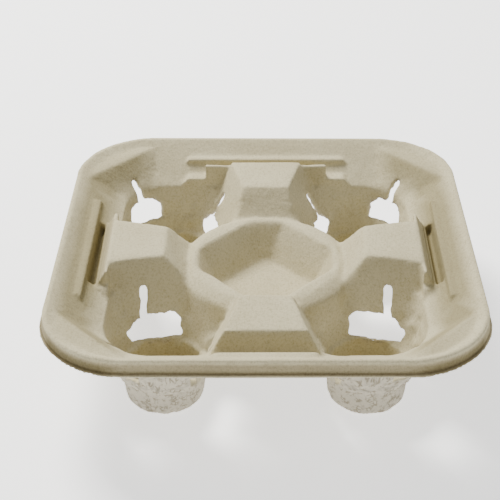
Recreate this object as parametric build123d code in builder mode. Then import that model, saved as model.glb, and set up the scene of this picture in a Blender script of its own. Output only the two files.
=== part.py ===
# Cup carrier for four drinks, pressed as one sheet of moulded paper pulp.
# Frame: origin at the middle of the tray, on the plane the four feet stand on; +Z up, -Y to the front.
# The sheet is the gap between two forms: form(0) is the face seen from above, and
# form(SHEET) is the same shape drawn in by the sheet thickness, the face seen from below.
import os
from math import atan, cos, radians, sqrt, tan

from build123d import *

os.makedirs("parts", exist_ok=True)

# ---- driving dimensions, mm ----
SHEET = 2.0                # thickness of the pulp sheet

TRAY_HALF = 105.0          # half width of the skirt at its lower edge
TRAY_CORNER = 42.0         # plan radius of the tray's corners
TRAY_HEIGHT = 61.5         # feet to rim crest
SKIRT_DROP = 8.5           # height of the skirt hanging from the crest
SKIRT_FLARE = 1.0          # how far the skirt leans out over its height
TRIM_WIDTH = 1.0           # out-turned edge left by the press, beyond the skirt
TRIM_THICK = 1.3           # thickness of that edge
CREST_ROUND = 0.9          # rounding of the crest's outer edge

CREST_WIDTH = 1.6          # flat on top of the rim
FUNNEL_DROP = 17.5         # rim crest to the mouth of the wells
MOUTH_HALF = 78.0          # half width of the square the four well mouths sit in
MOUTH_CORNER = 24.0        # corner radius of that square and of the mouths
MOUTH_NEAR = 14.0          # side of a well's mouth toward the middle lines
BELLY_DROP = 34.0          # rim crest to where a well turns round
BELLY_RADIUS = 25.0        # radius of the well there
SHOULDER_DROP = 43.0       # rim crest to the foot of the well's sloping shoulder
SHOULDER_RADIUS = 20.7     # radius of the well there

FACET_DROP = 3.0           # rim crest down to the flat crescent in each corner
FACET_REACH = 114.5        # middle of the tray to the crescent's straight edge
FACET_SLOPE = 46.0         # lean of the corner facet away from vertical, degrees
FACET_FOOT = 22.0          # how far down the corner facet is carried

LEDGE_DROP = 6.3           # rim crest down to the ledge along each side
LEDGE_OUTER = 96.0         # middle of the tray to the far side of the ledge
LEDGE_INNER = 89.1         # middle of the tray to the near side of the ledge
LEDGE_HALF = 44.0          # half length of the level part of the ledge and ridge
SIDE_RIDGE_HALF = 30.0     # the same for the left and right ridges
FRONT_BENCH_HALF = 23.0    # the same at the front, where the groove is as short
GROOVE_INNER = 85.2        # near side of the groove next to the ledge
GROOVE_HALF = 27.0         # half length of the groove
GROOVE_DROP = 16.8         # rim crest to the bottom of the groove
GROOVE_LEAN = 0.8          # lean of the groove's sides
RIDGE_DROP = 12.6          # rim crest to the ridge between groove and well
STEP_COUNT = 3             # small steps up from the ridge to the post
STEP_RISE = 2.7            # height of one step
STEP_RUN = 1.5             # width of one step
STEP_START = 1.6           # groove edge to the first step
STEP_LEAN = 0.3            # lean of a step's face
STEP_UNDER = 0.6           # share of the steps' rise that the underside follows
STEP_HALF = 34.0           # half length of the steps
SIDE_STEP_HALF = 28.0      # the same for the left and right steps
BENCH_FADE = 8.0           # how far the ledge and ridge run on as they slope away at their ends

POST_INNER = 51.0          # middle of the tray to the near edge of a post's top
POST_OUTER = 79.0          # middle of the tray to the far edge of a post's top
END_POST_HALF = 12.4       # half width of the front and back posts' tops at the near edge
SIDE_POST_HALF = 14.0      # the same for the left and right posts
POST_HALF_OUTER = 19.5     # half width of the post's top at its far edge
END_POST_DROP = 1.8        # rim crest to the tops of the front and back posts
SIDE_POST_DROP = 3.6       # rim crest to the tops of the left and right posts
POST_SIDE_DRAFT = 25.0     # lean of the two sides that face the wells, degrees
POST_NEAR_DRAFT = 41.0     # lean of the face toward the middle, degrees
POST_FAR_DRAFT = 17.0      # lean of the face toward the groove, degrees

RING_DROP = 14.2           # rim crest to the top of the ring round the middle dish
RING_TOP = 38.0            # radius of the ring's flat top
RING_SHELF_DROP = 18.0     # rim crest to the outer edge of the ring's sloping side
RING_OUTER = 44.5          # radius of that outer edge
RING_FOOT = 48.5           # radius of the ring where it meets the wells' shoulders
DISH_REACH = 35.0          # middle of the dish to its side under each post
DISH_CORNER = 9.0          # half length of that side
DISH_FLOOR_REACH = 25.0    # the same two sizes at the dish's floor
DISH_FLOOR_CORNER = 2.0
DISH_DROP = 33.0           # rim crest to the dish floor

WELL_PITCH = 100.8         # spacing of the wells, middle to middle
FOOT_RADIUS = 19.0         # radius of a foot at its bottom
FOOT_DRAFT = 7.0           # lean of the foot's side, degrees
FOOT_ROUND = 3.0           # rounding of the foot's bottom edge

SLIT_WIDTH = 3.4           # width of the slit above each side opening
SLIT_TOP_DROP = 17.0       # rim crest to the top of a slit
WINDOW_TOP_DROP = 30.5     # rim crest to the top of the opening below the slit
WINDOW_NEAR = 42.5         # middle of the tray to the near edge of a post's opening
WINDOW_FAR = 75.0          # middle of the tray to the far edge of a post's opening
WINDOW_CUT = 36.0          # the post openings are cut this far to each side of the post's middle
SLIT_REACH = 61.5          # middle of the tray to the middle of a post's slit
END_SLIT_REACH = 68.5      # the same for the front and back posts
CORNER_WINDOW = 22.0       # width of the opening across each outer corner
CORNER_WINDOW_TOP = 24.0   # rim crest to the top of the corner opening
CORNER_WINDOW_LOW = 36.0   # rim crest to the bottom of the corner opening
CORNER_SLIT_TOP = 13.0     # rim crest to the top of the corner slit
CORNER_CUT_NEAR = 86.0     # the corner opening is cut from here outward
CORNER_CUT_FAR = 111.0     # to here, measured from the middle of the tray
WINDOW_SILL = 1.0          # wall left standing below each opening
WINDOW_BEVEL = 3.0         # cut-off corners of each opening

BELOW = 6.0                # how far the lower form runs on under the feet
OVERLAP = 4.0              # how far joined or cut blocks run on past their mates
OUTSIDE = 30.0             # how far the corner blocks run on before they are trimmed
CUT_CLEAR = 0.5            # how far the dish's cut starts above its ring
SKIRT_BITE = 0.6           # how far the cut below the skirt reaches inside it
# shares of the sheet by which sloping edges move between the two faces
UNDER_EDGE = 0.4
UNDER_CORNER = 0.3
UNDER_FLOOR = 0.7
UNDER_MOUTH = 0.9

# ---- levels and small relations that follow from the sizes above ----
crest_z = TRAY_HEIGHT
belly_z = TRAY_HEIGHT - BELLY_DROP
shoulder_z = TRAY_HEIGHT - SHOULDER_DROP
mouth_z = TRAY_HEIGHT - FUNNEL_DROP
crest_half = TRAY_HALF - SKIRT_FLARE
crest_inner = crest_half - CREST_WIDTH
crest_corner = TRAY_CORNER - SKIRT_FLARE - CREST_WIDTH
funnel_angle = atan(FUNNEL_DROP / (crest_inner - MOUTH_HALF))
well_centre = WELL_PITCH / 2


def post_profile(inset, depth, inner_half):
    """Corner points of a post's section, inset by the sheet and depth below its top."""
    side_growth = (POST_HALF_OUTER - inner_half) / (POST_OUTER - POST_INNER)
    side_stretch = sqrt(1 + side_growth**2)
    sides = tan(radians(POST_SIDE_DRAFT))
    near_in = inset / cos(radians(POST_NEAR_DRAFT))
    side_in = inset / cos(radians(POST_SIDE_DRAFT))
    far_in = inset / cos(radians(POST_FAR_DRAFT))
    near = POST_INNER - depth * tan(radians(POST_NEAR_DRAFT)) + near_in
    far = POST_OUTER + depth * tan(radians(POST_FAR_DRAFT)) - far_in
    grow = (depth * sides - side_in) * side_stretch
    near_half = inner_half + (near - POST_INNER) * side_growth + grow
    far_half = POST_HALF_OUTER + (far - POST_OUTER) * side_growth + grow
    return [(near, -near_half), (far, -far_half), (far, far_half), (near, near_half)]


def corner_blocks(inset, low):
    """Flat crescent and leaning facet in the four outer corners."""
    foot_in = FACET_FOOT * tan(radians(FACET_SLOPE))
    near = FACET_REACH + inset / cos(radians(FACET_SLOPE))
    top = crest_z - FACET_DROP - inset
    with BuildPart() as corners:
        for turn in (45, 135, 225, 315):
            with BuildSketch(Plane.XZ.rotated((0, 0, turn))):
                with BuildLine():
                    Polyline(
                        (near, top),
                        (near - foot_in, top - FACET_FOOT),
                        (near + OUTSIDE, top - FACET_FOOT),
                        (near + OUTSIDE, top),
                        close=True,
                    )
                make_face()
            extrude(amount=2 * OUTSIDE, both=True)
        with BuildSketch(Plane.XY.offset(low)):
            side = 2 * (crest_half - inset)
            RectangleRounded(side, side, crest_corner + CREST_WIDTH - inset)
        extrude(amount=crest_z - low + 1, mode=Mode.INTERSECT)
    return corners.part


def ridge_profile(inset):
    """Top of the ridge beside a groove, with its small steps up toward the post."""
    low_z = crest_z - RIDGE_DROP - inset
    points = [(GROOVE_INNER - inset, low_z)]
    edge = GROOVE_INNER - STEP_START
    if inset:
        points.append((edge - UNDER_EDGE * inset, low_z))
        points.append((MOUTH_HALF - 1 + inset, low_z + STEP_COUNT * STEP_RISE * STEP_UNDER))
        return points
    for step in range(STEP_COUNT):
        points.append((edge - step * STEP_RUN, low_z + step * STEP_RISE))
        points.append((edge - step * STEP_RUN - STEP_LEAN, low_z + (step + 1) * STEP_RISE))
    points.append((MOUTH_HALF - 1, low_z + STEP_COUNT * STEP_RISE))
    return points


def side_benches(inset, low):
    """Ledge along the middle of each side and the ridge inside it, their ends sloping away."""
    ledge = (LEDGE_INNER + inset, LEDGE_OUTER + OVERLAP, crest_z - LEDGE_DROP - inset, LEDGE_HALF)
    ridge = (MOUTH_HALF - 1 + inset, LEDGE_INNER + 2 * inset, crest_z - RIDGE_DROP - inset, SIDE_RIDGE_HALF)
    with BuildPart() as benches:
        for near, far, top, side_half in (ledge, ridge):
            for turn in (0, 90, 180, 270):
                half = {90: LEDGE_HALF, 270: FRONT_BENCH_HALF}.get(turn, side_half)
                level = half - inset
                end = level + BENCH_FADE
                with BuildSketch(Plane.YZ.rotated((0, 0, turn)).offset(near)):
                    with BuildLine():
                        Polyline(
                            (-level, top),
                            (level, top),
                            (end, top - BENCH_FADE),
                            (end, low),
                            (-end, low),
                            (-end, top - BENCH_FADE),
                            close=True,
                        )
                    make_face()
                extrude(amount=far - near)
    return benches.part


def step_blocks(inset, low):
    """Small steps beside the left, right and back posts, rising from the ridge."""
    with BuildPart() as steps:
        for turn in (0, 90, 180):
            with BuildSketch(Plane.XZ.rotated((0, 0, turn))):
                with BuildLine():
                    Polyline(
                        *ridge_profile(inset),
                        (MOUTH_HALF - 1 + inset, low),
                        (GROOVE_INNER - inset, low),
                        close=True,
                    )
                make_face()
            half = STEP_HALF if turn == 90 else SIDE_STEP_HALF
            extrude(amount=half - inset, both=True)
    return steps.part


def groove_cuts(inset):
    """The groove between ridge and ledge, along each side."""
    with BuildPart() as grooves:
        for turn in (0, 90, 180, 270):
            with BuildSketch(Plane.XZ.rotated((0, 0, turn))):
                with BuildLine():
                    Polyline(
                        (GROOVE_INNER - inset, crest_z + 1),
                        (GROOVE_INNER - inset, crest_z - RIDGE_DROP - inset),
                        (GROOVE_INNER + GROOVE_LEAN - inset, crest_z - GROOVE_DROP - inset),
                        (LEDGE_INNER - GROOVE_LEAN + inset, crest_z - GROOVE_DROP - inset),
                        (LEDGE_INNER + inset, crest_z - LEDGE_DROP - inset),
                        (LEDGE_INNER + inset, crest_z + 1),
                        close=True,
                    )
                make_face()
            reach = FRONT_BENCH_HALF if turn == 270 else GROOVE_HALF
            extrude(amount=reach + inset, both=True)
    return grooves.part


def octagon(reach, corner):
    """Corner points of a square with its corners cut off, in order."""
    return [
        (reach, -corner),
        (reach, corner),
        (corner, reach),
        (-corner, reach),
        (-reach, corner),
        (-reach, -corner),
        (-corner, -reach),
        (corner, -reach),
    ]


def well_room(inset):
    """The hollow of the four wells, from their mouths down to the shoulders."""
    near = MOUTH_NEAR - inset
    far = MOUTH_HALF + inset
    drop = inset / cos(funnel_angle)
    with BuildPart() as room:
        with BuildSketch(Plane.XY.offset(belly_z - inset)):
            with Locations((well_centre, well_centre)):
                Circle(BELLY_RADIUS + inset)
        with BuildSketch(Plane.XY.offset(mouth_z - drop)):
            with Locations(((near + far) / 2, (near + far) / 2)):
                RectangleRounded(far - near, far - near, MOUTH_CORNER + inset)
        loft()
        with BuildSketch(Plane.XY.offset(shoulder_z - inset)):
            with Locations((well_centre, well_centre)):
                Circle(SHOULDER_RADIUS + inset)
        with BuildSketch(Plane.XY.offset(belly_z - inset)):
            with Locations((well_centre, well_centre)):
                Circle(BELLY_RADIUS + inset)
        loft()
        mirror(about=Plane.YZ)
        mirror(about=Plane.XZ)
    return room.part


def foot_room(inset):
    """The round hollow of the four feet, below the shoulders."""
    floor = SHEET - inset
    lean = tan(radians(FOOT_DRAFT))
    floor_radius = FOOT_RADIUS - SHEET + inset
    rise = shoulder_z - inset - floor
    with BuildPart() as room:
        with BuildSketch(Plane.XY.offset(floor)):
            with Locations((well_centre, well_centre)):
                Circle(floor_radius)
        with BuildSketch(Plane.XY.offset(shoulder_z - inset)):
            with Locations((well_centre, well_centre)):
                Circle(floor_radius + rise * lean)
        loft()
        mirror(about=Plane.YZ)
        mirror(about=Plane.XZ)
    return room.part


def posts(inset, low):
    """The four posts, wider downward, with flat tops."""
    with BuildPart() as four:
        for turn in (0, 90, 180, 270):
            at_end = turn in (90, 270)
            top = crest_z - (END_POST_DROP if at_end else SIDE_POST_DROP)
            inner_half = END_POST_HALF if at_end else SIDE_POST_HALF
            with BuildSketch(Plane.XY.offset(top - inset).rotated((0, 0, turn))):
                Polygon(*post_profile(inset, inset, inner_half), align=None)
            with BuildSketch(Plane.XY.offset(shoulder_z - inset - 1).rotated((0, 0, turn))):
                Polygon(*post_profile(inset, top - shoulder_z + inset + 1, inner_half), align=None)
            loft()
    return four.part


def form(inset):
    """The tray drawn as a solid block, inset by a number of millimetres of sheet."""
    low = -BELOW if inset else 0.0
    drop = inset / cos(funnel_angle)
    with BuildPart() as body:
        # outer block with its leaning skirt
        with BuildSketch(Plane.XY.offset(low)):
            RectangleRounded(2 * (TRAY_HALF - inset), 2 * (TRAY_HALF - inset), TRAY_CORNER - inset)
        extrude(amount=crest_z - SKIRT_DROP - low)
        with BuildSketch(Plane.XY.offset(crest_z - SKIRT_DROP)):
            RectangleRounded(2 * (TRAY_HALF - inset), 2 * (TRAY_HALF - inset), TRAY_CORNER - inset)
        with BuildSketch(Plane.XY.offset(crest_z - inset)):
            side = 2 * (crest_half - inset)
            RectangleRounded(side, side, TRAY_CORNER - SKIRT_FLARE - inset)
        loft()
        # flange sloping from the crest down to the mouth square
        with BuildSketch(Plane.XY.offset(mouth_z - drop)):
            RectangleRounded(2 * MOUTH_HALF, 2 * MOUTH_HALF, MOUTH_CORNER)
        with BuildSketch(Plane.XY.offset(crest_z - drop)):
            RectangleRounded(2 * crest_inner, 2 * crest_inner, crest_corner)
        loft(mode=Mode.SUBTRACT)
        with BuildSketch(Plane.XY.offset(crest_z - drop)):
            RectangleRounded(2 * crest_inner, 2 * crest_inner, crest_corner)
        extrude(amount=drop + 1, mode=Mode.SUBTRACT)
        # corner facets and side benches stand on the flange
        add(corner_blocks(inset, low))
        add(side_benches(inset, low))
        add(step_blocks(inset, low))
        add(groove_cuts(inset), mode=Mode.SUBTRACT)
        # the wells, and the open square above them
        add(well_room(inset), mode=Mode.SUBTRACT)
        with BuildSketch(Plane.XY.offset(mouth_z - drop)):
            RectangleRounded(2 * (MOUTH_HALF + inset), 2 * (MOUTH_HALF + inset), MOUTH_CORNER + inset)
        extrude(amount=drop + FUNNEL_DROP + 1, mode=Mode.SUBTRACT)
        # four posts and the ring in the middle
        add(posts(inset, low))
        add(foot_room(inset), mode=Mode.SUBTRACT)
        with BuildSketch(Plane.XY.offset(shoulder_z - inset - 1)):
            Circle(RING_FOOT - inset)
        with BuildSketch(Plane.XY.offset(crest_z - RING_SHELF_DROP - inset)):
            Circle(RING_OUTER - inset)
        loft()
        with BuildSketch(Plane.XY.offset(crest_z - RING_SHELF_DROP - inset)):
            Circle(RING_OUTER - inset)
        with BuildSketch(Plane.XY.offset(crest_z - RING_DROP - inset)):
            Circle(RING_TOP - UNDER_EDGE * inset)
        loft()
        # eight-sided dish inside the ring
        with BuildSketch(Plane.XY.offset(crest_z - DISH_DROP - inset)):
            floor_reach = DISH_FLOOR_REACH + UNDER_FLOOR * inset
            Polygon(*octagon(floor_reach, DISH_FLOOR_CORNER + UNDER_CORNER * inset), align=None)
        with BuildSketch(Plane.XY.offset(crest_z - RING_DROP + CUT_CLEAR - CUT_CLEAR * inset)):
            mouth_reach = DISH_REACH + CUT_CLEAR + UNDER_MOUTH * inset
            Polygon(*octagon(mouth_reach, DISH_CORNER + UNDER_EDGE * inset), align=None)
        loft(mode=Mode.SUBTRACT)
    return body.part


upper = form(0.0)
lower = form(SHEET)

with BuildPart() as cup_carrier:
    add(upper)
    add(lower, mode=Mode.SUBTRACT)

    # nothing hangs outside below the skirt's lower edge
    skirt_z = crest_z - SKIRT_DROP
    inner_side = TRAY_HALF - SHEET - SKIRT_BITE
    with BuildSketch(Plane.XY.offset(-1)):
        RectangleRounded(2 * (TRAY_HALF + OVERLAP), 2 * (TRAY_HALF + OVERLAP), TRAY_CORNER + OVERLAP)
        inner_corner = TRAY_CORNER - SHEET - SKIRT_BITE
        RectangleRounded(2 * inner_side, 2 * inner_side, inner_corner, mode=Mode.SUBTRACT)
    extrude(amount=skirt_z + 1, mode=Mode.SUBTRACT)

    # out-turned trim edge
    trim_half = TRAY_HALF + TRIM_WIDTH
    with BuildSketch(Plane.XY.offset(skirt_z)):
        RectangleRounded(2 * trim_half, 2 * trim_half, TRAY_CORNER + TRIM_WIDTH)
        RectangleRounded(
            2 * (TRAY_HALF - SHEET), 2 * (TRAY_HALF - SHEET), TRAY_CORNER - SHEET, mode=Mode.SUBTRACT
        )
    extrude(amount=TRIM_THICK)

    # slit and window through both sides of each post
    sill_z = shoulder_z + WINDOW_SILL
    window_z = crest_z - WINDOW_TOP_DROP
    slit_z = crest_z - SLIT_TOP_DROP
    for turn in (0, 90, 180, 270):
        slit_near = (END_SLIT_REACH if turn in (90, 270) else SLIT_REACH) - SLIT_WIDTH / 2
        slit_far = slit_near + SLIT_WIDTH
        with BuildSketch(Plane.XZ.rotated((0, 0, turn))):
            with BuildLine():
                Polyline(
                    (WINDOW_NEAR, sill_z),
                    (WINDOW_NEAR, window_z - WINDOW_BEVEL),
                    (WINDOW_NEAR + WINDOW_BEVEL, window_z),
                    (slit_near, window_z),
                    (slit_near, slit_z),
                    (slit_far, slit_z),
                    (slit_far, window_z - 1),
                    (WINDOW_FAR, sill_z + WINDOW_BEVEL / 2),
                    (WINDOW_FAR, sill_z),
                    close=True,
                )
            make_face()
        extrude(amount=WINDOW_CUT, both=True, mode=Mode.SUBTRACT)

    # slit and window across each outer corner
    corner_z = crest_z - CORNER_WINDOW_TOP
    corner_low_z = crest_z - CORNER_WINDOW_LOW
    corner_slit_z = crest_z - CORNER_SLIT_TOP
    for turn in (45, 135, 225, 315):
        corner_plane = Plane.XZ.rotated((0, 0, turn + 90)).offset(-CORNER_CUT_FAR)
        with BuildSketch(corner_plane):
            with BuildLine():
                Polyline(
                    (-CORNER_WINDOW / 2, corner_low_z),
                    (-CORNER_WINDOW / 2, corner_z - WINDOW_BEVEL),
                    (-CORNER_WINDOW / 2 + WINDOW_BEVEL, corner_z),
                    (CORNER_WINDOW / 2 - WINDOW_BEVEL, corner_z),
                    (CORNER_WINDOW / 2, corner_z - WINDOW_BEVEL),
                    (CORNER_WINDOW / 2, corner_low_z),
                    close=True,
                )
            make_face()
            with Locations((0, (corner_slit_z + corner_z) / 2)):
                Rectangle(SLIT_WIDTH, corner_slit_z - corner_z + 2)
        extrude(amount=CORNER_CUT_FAR - CORNER_CUT_NEAR, mode=Mode.SUBTRACT)

    # soft edges
    feet = cup_carrier.faces().filter_by(Axis.Z).group_by(Axis.Z)[0]
    fillet([e for f in feet for e in f.outer_wire().edges()], FOOT_ROUND)
    rim = cup_carrier.faces().filter_by(Axis.Z).sort_by(Axis.Z)[-1]
    fillet(rim.outer_wire().edges(), CREST_ROUND)

cup_carrier.part.label = "cup_carrier"
export_step(cup_carrier.part, "parts/cup_carrier.step")
print("solids", len(cup_carrier.solids()), "volume", round(cup_carrier.part.volume))
print("box", cup_carrier.part.bounding_box())
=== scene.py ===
import math

import bmesh
import bpy
import numpy as np
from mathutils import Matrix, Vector, noise
from mathutils.bvhtree import BVHTree


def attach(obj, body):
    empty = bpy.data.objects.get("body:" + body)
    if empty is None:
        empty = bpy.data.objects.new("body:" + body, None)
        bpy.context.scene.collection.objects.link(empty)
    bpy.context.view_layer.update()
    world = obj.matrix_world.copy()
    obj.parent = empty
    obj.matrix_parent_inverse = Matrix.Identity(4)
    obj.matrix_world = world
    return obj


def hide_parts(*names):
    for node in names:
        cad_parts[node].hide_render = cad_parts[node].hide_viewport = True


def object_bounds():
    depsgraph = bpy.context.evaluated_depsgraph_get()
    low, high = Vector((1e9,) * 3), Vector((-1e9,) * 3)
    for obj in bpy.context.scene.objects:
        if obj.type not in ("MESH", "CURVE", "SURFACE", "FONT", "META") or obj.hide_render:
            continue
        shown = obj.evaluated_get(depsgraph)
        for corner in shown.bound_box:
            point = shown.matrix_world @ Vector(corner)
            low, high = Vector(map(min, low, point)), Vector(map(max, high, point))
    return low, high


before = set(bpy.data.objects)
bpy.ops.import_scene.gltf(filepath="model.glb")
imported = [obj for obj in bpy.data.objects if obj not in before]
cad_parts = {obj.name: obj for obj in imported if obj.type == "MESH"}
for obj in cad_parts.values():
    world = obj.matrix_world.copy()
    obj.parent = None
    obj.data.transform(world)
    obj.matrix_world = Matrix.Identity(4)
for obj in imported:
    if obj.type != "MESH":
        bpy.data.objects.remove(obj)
cad_lo, cad_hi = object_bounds()
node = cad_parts["cup_carrier"]
TOP = cad_hi.z
HALF = cad_hi.x
WELL = 0.0504

# ---------------------------------------------------------------- camera
PITCH = math.radians(33.28)
BACK_OFF = 0.5241      # camera to the tray's middle, along the ground
RISE = 0.3341          # camera above the rim
cam_data = bpy.data.cameras.new("camera")
cam = bpy.data.objects.new("camera", cam_data)
bpy.context.scene.collection.objects.link(cam)
cam.location = (0, -BACK_OFF, TOP + RISE)
cam.rotation_euler = (math.pi / 2 - PITCH, 0, 0)
cam_data.sensor_width = 36
cam_data.lens = 87.7
cam_data.shift_x = -0.0314
cam_data.clip_start = 0.01
cam_data.clip_end = 20
bpy.context.scene.camera = cam

# ---------------------------------------------------------------- the pulp sheet
mesh = node.data.copy()
pulp = bpy.data.objects.new("pulp_tray", mesh)
bpy.context.scene.collection.objects.link(pulp)
bm = bmesh.new()
bm.from_mesh(mesh)
bmesh.ops.remove_doubles(bm, verts=bm.verts, dist=1e-6)
bm.to_mesh(mesh)
bm.free()


def apply_modifiers(obj):
    deps = bpy.context.evaluated_depsgraph_get()
    new = bpy.data.meshes.new_from_object(obj.evaluated_get(deps))
    obj.modifiers.clear()
    old = obj.data
    obj.data = new
    bpy.data.meshes.remove(old)


def coords(me):
    out = np.empty(len(me.vertices) * 3, dtype=np.float32)
    me.vertices.foreach_get("co", out)
    return out.reshape(-1, 3).astype(np.float64)


def normals(me):
    out = np.empty(len(me.vertices) * 3, dtype=np.float32)
    me.vertex_normals.foreach_get("vector", out)
    return out.reshape(-1, 3).astype(np.float64)


def set_coords(me, co):
    me.vertices.foreach_set("co", co.astype(np.float32).ravel())
    me.update()


remesh = pulp.modifiers.new("remesh", "REMESH")
remesh.mode = "VOXEL"
remesh.voxel_size = 0.00085
smooth = pulp.modifiers.new("smooth", "SMOOTH")
smooth.factor = 0.5
smooth.iterations = 4
apply_modifiers(pulp)
deci = pulp.modifiers.new("decimate", "DECIMATE")
deci.ratio = 192000 / (2 * len(pulp.data.polygons))
apply_modifiers(pulp)
me = pulp.data

# which side of the sheet a point is on, and how deep it sits in a hollow (later painted as shade)
co = coords(me)
nor = normals(me)
tree = BVHTree.FromObject(pulp, bpy.context.evaluated_depsgraph_get())
up = Vector((0, 0, 1))
rays = []
for i in range(12):
    z = 0.25 + 0.75 * (i + 0.5) / 12
    a = i * 2.399963
    r = math.sqrt(1 - z * z)
    rays.append((r * math.cos(a), r * math.sin(a), z))
under = np.zeros(len(co))
shade = np.zeros(len(co))
for i in range(len(co)):
    n = Vector(nor[i])
    p = Vector(co[i]) + n * 0.0007
    if n.z < -0.02 or tree.ray_cast(p + n * 0.0006, up, 0.2)[0] is not None:
        under[i] = 1.0
    t = n.orthogonal().normalized()
    b = n.cross(t)
    hit = 0.0
    for x, y, z in rays[::2]:
        d = t * x + b * y + n * z
        h = tree.ray_cast(p, d, 0.045)
        if h[0] is not None:
            hit += 1.0 - 0.6 * h[3] / 0.045
    shade[i] = hit / 6


def spread(values, rounds):
    """Averages a value over neighbouring points."""
    edges = np.empty(len(me.edges) * 2, dtype=np.int32)
    me.edges.foreach_get("vertices", edges)
    a, b = edges.reshape(-1, 2).T
    count = np.bincount(a, minlength=len(values)) + np.bincount(b, minlength=len(values))
    for _ in range(rounds):
        total = np.bincount(a, values[b], len(values)) + np.bincount(b, values[a], len(values))
        values = 0.4 * values + 0.6 * total / np.maximum(count, 1)
    return values


under = spread(under, 2)
shade = spread(shade, 6)

def fade(value, low, high):
    """0 below low, 1 above high, smooth between."""
    t = np.clip((value - low) / (high - low), 0, 1)
    return t * t * (3 - 2 * t)


# corner facets are soft, well below the rim's crest
x, y, z = co.T
soft = fade(np.minimum(abs(x), abs(y)), 0.058, 0.070) * fade(TOP - z, 0.0022, 0.0040)
soft *= fade(z, TOP - 0.034, TOP - 0.026)
middle = (1 - fade(np.hypot(x, y), 0.046, 0.052)) * fade(z, TOP - 0.038, TOP - 0.034)
axis_near = np.minimum(abs(x), abs(y))
axis_far = np.maximum(abs(x), abs(y))
post = (1 - fade(axis_near, 0.024, 0.030)) * fade(axis_far, 0.046, 0.052) * (1 - fade(axis_far, 0.080, 0.084))
post *= fade(z, TOP - 0.026, TOP - 0.020)
soft = np.maximum.reduce([soft, 0.8 * middle, 0.45 * post])
edges = np.empty(len(me.edges) * 2, dtype=np.int32)
me.edges.foreach_get("vertices", edges)
ea, eb = edges.reshape(-1, 2).T
count = np.maximum(np.bincount(ea, minlength=len(co)) + np.bincount(eb, minlength=len(co)), 1)
for _ in range(22):
    mean = np.empty_like(co)
    for axis in range(3):
        mean[:, axis] = np.bincount(ea, co[eb, axis], len(co)) + np.bincount(eb, co[ea, axis], len(co))
    co = co + (mean / count[:, None] - co) * (0.36 * soft)[:, None]

# the trim stands out a little, with a painted shade line in the crease above it
SKIRT = TOP - 0.0085
x, y, z = co.T
corner = HALF - 0.043
qx = np.maximum(abs(x) - corner, 0)
qy = np.maximum(abs(y) - corner, 0)
reach = np.hypot(qx, qy)
out_dir = np.stack([np.sign(x) * qx, np.sign(y) * qy], 1) / np.maximum(reach, 1e-9)[:, None]
outside = fade(reach, 0.0405, 0.0415)
trim = outside * (1 - fade(z, SKIRT + 0.0012, SKIRT + 0.0019))
co[:, :2] += out_dir * (trim * np.clip(0.0430 - reach, 0, 0.0007))[:, None]
# painted shade: a dark line in the crease just above the trim
trim_crease_shade = outside * fade(z, SKIRT + 0.0010, SKIRT + 0.0018) * (1 - fade(z, SKIRT + 0.0022, SKIRT + 0.0032))
# painted shade: the rim's outer face, from the trim up to the crest, is darkened
skirt_shade = outside * fade(z, SKIRT + 0.0012, SKIRT + 0.0022) * (1 - fade(z, TOP - 0.0022, TOP - 0.0010))

# openings were punched and torn, so their edges wander
side_a = np.maximum(abs(x), abs(y))
side_b = np.minimum(abs(x), abs(y))
torn = fade(side_a, 0.037, 0.042) * (1 - fade(side_a, 0.080, 0.086)) * fade(side_b, 0.010, 0.016)
torn *= fade(z, 0.012, 0.018) * (1 - fade(z, TOP - 0.026, TOP - 0.019))

# screen mark of the underside: crossing wires, wrapped round each foot
fx = abs(x) - WELL
fy = abs(y) - WELL
spoke = np.hypot(fx, fy)
on_foot = (spoke < 0.028) & (spoke > 0.0155) & (z < TOP - 0.040)
u = np.where(on_foot, np.arctan2(fy, fx) * 0.019, x)
v = np.where(on_foot, z, y)

# the sheet is never flat: slow waves, small lumps, and a coarse screen mark below
move = np.empty(len(co))
wires = np.empty(len(co))  # raised and sunk lozenges
push = np.zeros_like(co)
for i in range(len(co)):
    p = co[i]
    slow = noise.noise(Vector(p * 22)) * 0.00045
    lump = noise.noise(Vector(p * 130 + 5)) * 0.00024
    grain = noise.noise(Vector(p * 420 + 9)) * 0.00016
    rough = noise.noise(Vector(p * 260 + 3)) * 0.0003
    warp = noise.noise(Vector(p * 190 + 7)) * 1.9
    wires[i] = math.sin((u[i] + v[i]) * 1500 + warp) * math.sin((u[i] - v[i]) * 1500 - warp)
    move[i] = slow + lump * (1 - under[i]) + grain + under[i] * (rough + wires[i] * 0.00026)
    if torn[i] > 0.01:
        push[i] = torn[i] * 0.0011 * np.array(noise.noise_vector(Vector(p * 210 + 2)))
co = co + nor * move[:, None] + push
# the side flanges and corners are darker and browner
flange = fade(np.maximum(abs(x), 0.9 * np.hypot(x, y) - 0.012), 0.079, 0.087) * (1 - fade(abs(x), 0.0985, 0.1015))
flange *= fade(TOP - z, 0.0018, 0.0045) * fade(abs(x), 0.060, 0.076)
for axis in range(3):
    co[:, axis] = np.clip(co[:, axis], cad_lo[axis], cad_hi[axis])
set_coords(me, co)
for p in me.polygons:
    p.use_smooth = True
for name, values in (("under", under), ("shade", shade), ("trim_crease_shade", trim_crease_shade), ("skirt_shade", skirt_shade), ("flange", flange), ("wrap_u", u), ("wrap_v", v)):
    layer = me.attributes.new(name, "FLOAT", "POINT")
    layer.data.foreach_set("value", values.astype(np.float32))

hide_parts("cup_carrier")
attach(pulp, "root")

# ---------------------------------------------------------------- material
mat = bpy.data.materials.new("pulp")
mat.use_nodes = True
nt = mat.node_tree
bsdf = nt.nodes["Principled BSDF"]
bsdf.inputs["Roughness"].default_value = 0.93
bsdf.inputs["Specular IOR Level"].default_value = 0.15


def node_of(kind, **values):
    made = nt.nodes.new(kind)
    for key, value in values.items():
        if key in made.inputs:
            made.inputs[key].default_value = value
        else:
            setattr(made, key, value)
    return made


def link(a, b):
    nt.links.new(a, b)


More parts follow.
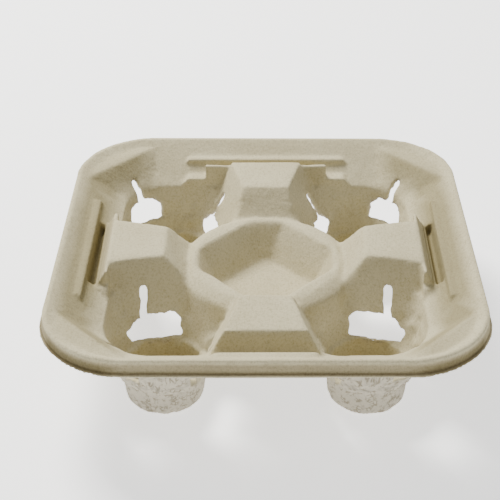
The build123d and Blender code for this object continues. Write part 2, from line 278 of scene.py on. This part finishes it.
def noise_tex(scale, detail, rough=0.55, vector=None):
    made = node_of("ShaderNodeTexNoise", Scale=scale, Detail=detail, Roughness=rough)
    link(vector or place.outputs["Object"], made.inputs["Vector"])
    return made.outputs["Fac"]


def ramp(fac, stops):
    made = nt.nodes.new("ShaderNodeValToRGB")
    made.color_ramp.elements[0].position, made.color_ramp.elements[0].color = stops[0]
    made.color_ramp.elements[1].position, made.color_ramp.elements[1].color = stops[-1]
    for position, colour in stops[1:-1]:
        made.color_ramp.elements.new(position).color = colour
    link(fac, made.inputs["Fac"])
    return made.outputs["Color"]


def mix(kind, fac, a, b):
    made = nt.nodes.new("ShaderNodeMix")
    made.data_type = "RGBA"
    made.blend_type = kind
    ins = [s for s in made.inputs if s.enabled]
    for socket, value in zip(ins, (fac, a, b)):
        if hasattr(value, "is_output"):
            link(value, socket)
        else:
            socket.default_value = value
    return [s for s in made.outputs if s.enabled][0]


def math_node(kind, a, b):
    made = nt.nodes.new("ShaderNodeMath")
    made.operation = kind
    for socket, value in zip(made.inputs, (a, b)):
        if hasattr(value, "is_output"):
            link(value, socket)
        else:
            socket.default_value = value
    return made.outputs[0]


place = nt.nodes.new("ShaderNodeTexCoord")
under_at = node_of("ShaderNodeAttribute", attribute_name="under").outputs["Fac"]
shade_at = node_of("ShaderNodeAttribute", attribute_name="shade").outputs["Fac"]
trim_crease_shade_at = node_of("ShaderNodeAttribute", attribute_name="trim_crease_shade").outputs["Fac"]
skirt_shade_at = node_of("ShaderNodeAttribute", attribute_name="skirt_shade").outputs["Fac"]
flange_at = node_of("ShaderNodeAttribute", attribute_name="flange").outputs["Fac"]
wrapped = node_of("ShaderNodeCombineXYZ")
link(node_of("ShaderNodeAttribute", attribute_name="wrap_u").outputs["Fac"], wrapped.inputs["X"])
link(node_of("ShaderNodeAttribute", attribute_name="wrap_v").outputs["Fac"], wrapped.inputs["Y"])
screen = node_of("ShaderNodeTexVoronoi", Scale=560, Randomness=1.0)
screen.feature = "DISTANCE_TO_EDGE"
link(wrapped.outputs["Vector"], screen.inputs["Vector"])
cell = screen.outputs["Distance"]

blotch = ramp(noise_tex(38, 3), [(0.3, (0.535, 0.48, 0.312, 1)), (0.7, (0.605, 0.55, 0.368, 1))])
speck = ramp(noise_tex(850, 4, 0.7), [(0.28, (0.70, 0.68, 0.64, 1)), (0.5, (1, 1, 1, 1)), (0.75, (1.12, 1.12, 1.12, 1))])
colour = mix("MULTIPLY", 0.8, blotch, speck)
# short fibres lying every way
stretch = node_of("ShaderNodeMapping")
link(place.outputs["Object"], stretch.inputs["Vector"])
stretch.inputs["Scale"].default_value = (1.0, 0.16, 0.5)
stretch.inputs["Rotation"].default_value = (0.3, 0.5, 0.6)
fibre = ramp(noise_tex(1900, 2, 0.5, stretch.outputs["Vector"]), [(0.33, (0.78, 0.76, 0.7, 1)), (0.42, (1, 1, 1, 1))])
colour = mix("MULTIPLY", 0.5, colour, fibre)
# painted shade: hollows, where the sheet closes round a point, are painted darker and browner
hollow_shade = ramp(shade_at, [(0.12, (1, 1, 1, 1)), (0.8, (0.86, 0.83, 0.74, 1))])
colour = mix("MULTIPLY", 1.0, colour, hollow_shade)
# the screen side is greyer
colour = mix("MIX", math_node("MULTIPLY", under_at, 0.75), colour, (0.54, 0.50, 0.42, 1))
# the screen mark's grooves are darker, broken up by noise
gap = ramp(cell, [(0.02, (0.50, 0.475, 0.42, 1)), (0.22, (1, 1, 1, 1))])
broken = ramp(noise_tex(300, 2), [(0.44, (0, 0, 0, 1)), (0.60, (1, 1, 1, 1))])
colour = mix("MULTIPLY", math_node("MULTIPLY", under_at, broken), colour, gap)
colour = mix("MULTIPLY", math_node("MULTIPLY", flange_at, 0.85), colour, (0.50, 0.475, 0.385, 1))
# painted shade on the rim's outer face
colour = mix("MULTIPLY", math_node("MULTIPLY", skirt_shade_at, 0.9), colour, (0.50, 0.47, 0.41, 1))
# painted shade line in the crease above the trim
colour = mix("MULTIPLY", math_node("MULTIPLY", trim_crease_shade_at, 0.9), colour, (0.42, 0.38, 0.30, 1))
link(colour, bsdf.inputs["Base Color"])

fine = noise_tex(1100, 5, 0.65)
mid = noise_tex(330, 3, 0.5)
height = math_node("ADD", math_node("MULTIPLY", fine, 0.35), math_node("MULTIPLY", mid, 0.5))
height = math_node("ADD", height, math_node("MULTIPLY", math_node("MINIMUM", cell, 0.2), under_at))
bump = node_of("ShaderNodeBump", Strength=0.8, Distance=0.0007)
link(height, bump.inputs["Height"])
link(bump.outputs["Normal"], bsdf.inputs["Normal"])
me.materials.clear()
me.materials.append(mat)

# ---------------------------------------------------------------- floor and light
bpy.ops.mesh.primitive_plane_add(size=8)
floor = bpy.context.object
floor.name = "floor"
floor.location.z = -0.0003  # just under the feet
fmat = bpy.data.materials.new("floor")
fmat.use_nodes = True
fb = fmat.node_tree.nodes["Principled BSDF"]
fb.inputs["Base Color"].default_value = (0.96, 0.96, 0.96, 1)
fb.inputs["Roughness"].default_value = 0.9
fb.inputs["Emission Color"].default_value = (1, 1, 1, 1)
fb.inputs["Emission Strength"].default_value = 1.25
floor.data.materials.append(fmat)


def area(name, loc, target, size, power, colour=(1, 1, 1)):
    data = bpy.data.lights.new(name, "AREA")
    data.shape = "SQUARE"
    data.size = size
    data.energy = power
    data.color = colour
    obj = bpy.data.objects.new(name, data)
    bpy.context.scene.collection.objects.link(obj)
    obj.location = loc
    obj.rotation_euler = (Vector(target) - Vector(loc)).to_track_quat("-Z", "Y").to_euler()


area("key", (-0.55, 0.75, 1.25), (0, 0, 0), 0.6, 47, (1, 0.985, 0.94))
area("fill", (1.2, -1.0, 0.9), (0, 0, 0), 1.4, 1.5)
world = bpy.data.worlds.new("world")
world.use_nodes = True
world.node_tree.nodes["Background"].inputs[0].default_value = (1, 1, 1, 1)
world.node_tree.nodes["Background"].inputs[1].default_value = 0.42
bpy.context.scene.world = world
